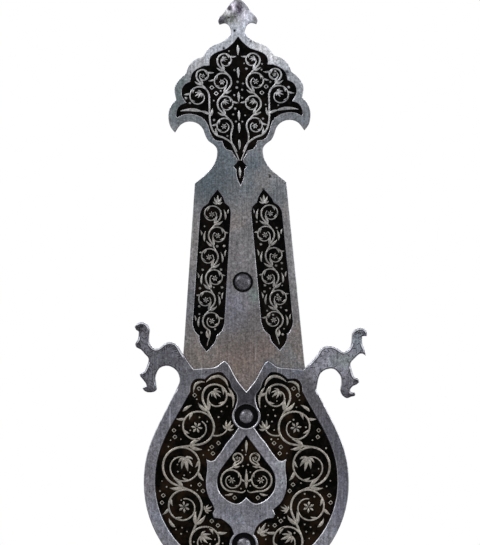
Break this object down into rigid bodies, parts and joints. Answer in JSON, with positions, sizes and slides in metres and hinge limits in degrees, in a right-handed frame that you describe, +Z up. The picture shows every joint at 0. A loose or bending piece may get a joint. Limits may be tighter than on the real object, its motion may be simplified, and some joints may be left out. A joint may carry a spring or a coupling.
{
  "type": "processional standard",
  "caption": "Tall flat steel processional standard: tapered blade with palmette head, pear-shaped openwork body with side dragons, knop and pole socket.",
  "frame": {"origin": "centre of the pole socket's open mouth", "axes": "+Z up along the pole to the top of the head, -Y out of the decorated front, +X to the viewer's right"},
  "size_m": [0.2089, 0.041, 0.696],
  "materials": {
    "blade_steel": "worn hand-finished steel with fine scratches and grey patina",
    "frame_steel": "worn blue-grey steel with bright rubbed edges",
    "plate_steel": "dull forged steel",
    "rivet_steel": "hammered and rubbed steel",
    "fitting_steel": "turned and worn steel",
    "washer_black": "blackened steel",
    "blackened_ground": "matt black filled ground",
    "blackened_panel": "brown-black filled ground"
  },
  "bodies": {
    "root": {"blade": "blade_steel", "inlay_head": "blackened_ground", "inlay_blade_left": "blackened_ground", "inlay_blade_right": "blackened_ground", "body_frame": "frame_steel", "ground_plate": "plate_steel", "panel_left": "blackened_panel", "panel_right": "blackened_panel", "panel_drop": "blackened_panel", "spine": "plate_steel", "rivet_blade": "rivet_steel", "rivet_upper": "rivet_steel", "rivet_lower": "rivet_steel", "washer_blade": "washer_black", "washer_upper": "washer_black", "washer_lower": "washer_black", "rove_blade": "plate_steel", "rove_upper": "plate_steel", "rove_lower": "plate_steel", "collar_upper": "fitting_steel", "knop": "fitting_steel", "collar_lower": "fitting_steel", "socket": "fitting_steel", "rim_band": "fitting_steel", "tang_pin": "rivet_steel"}
  },
  "joints": []
}
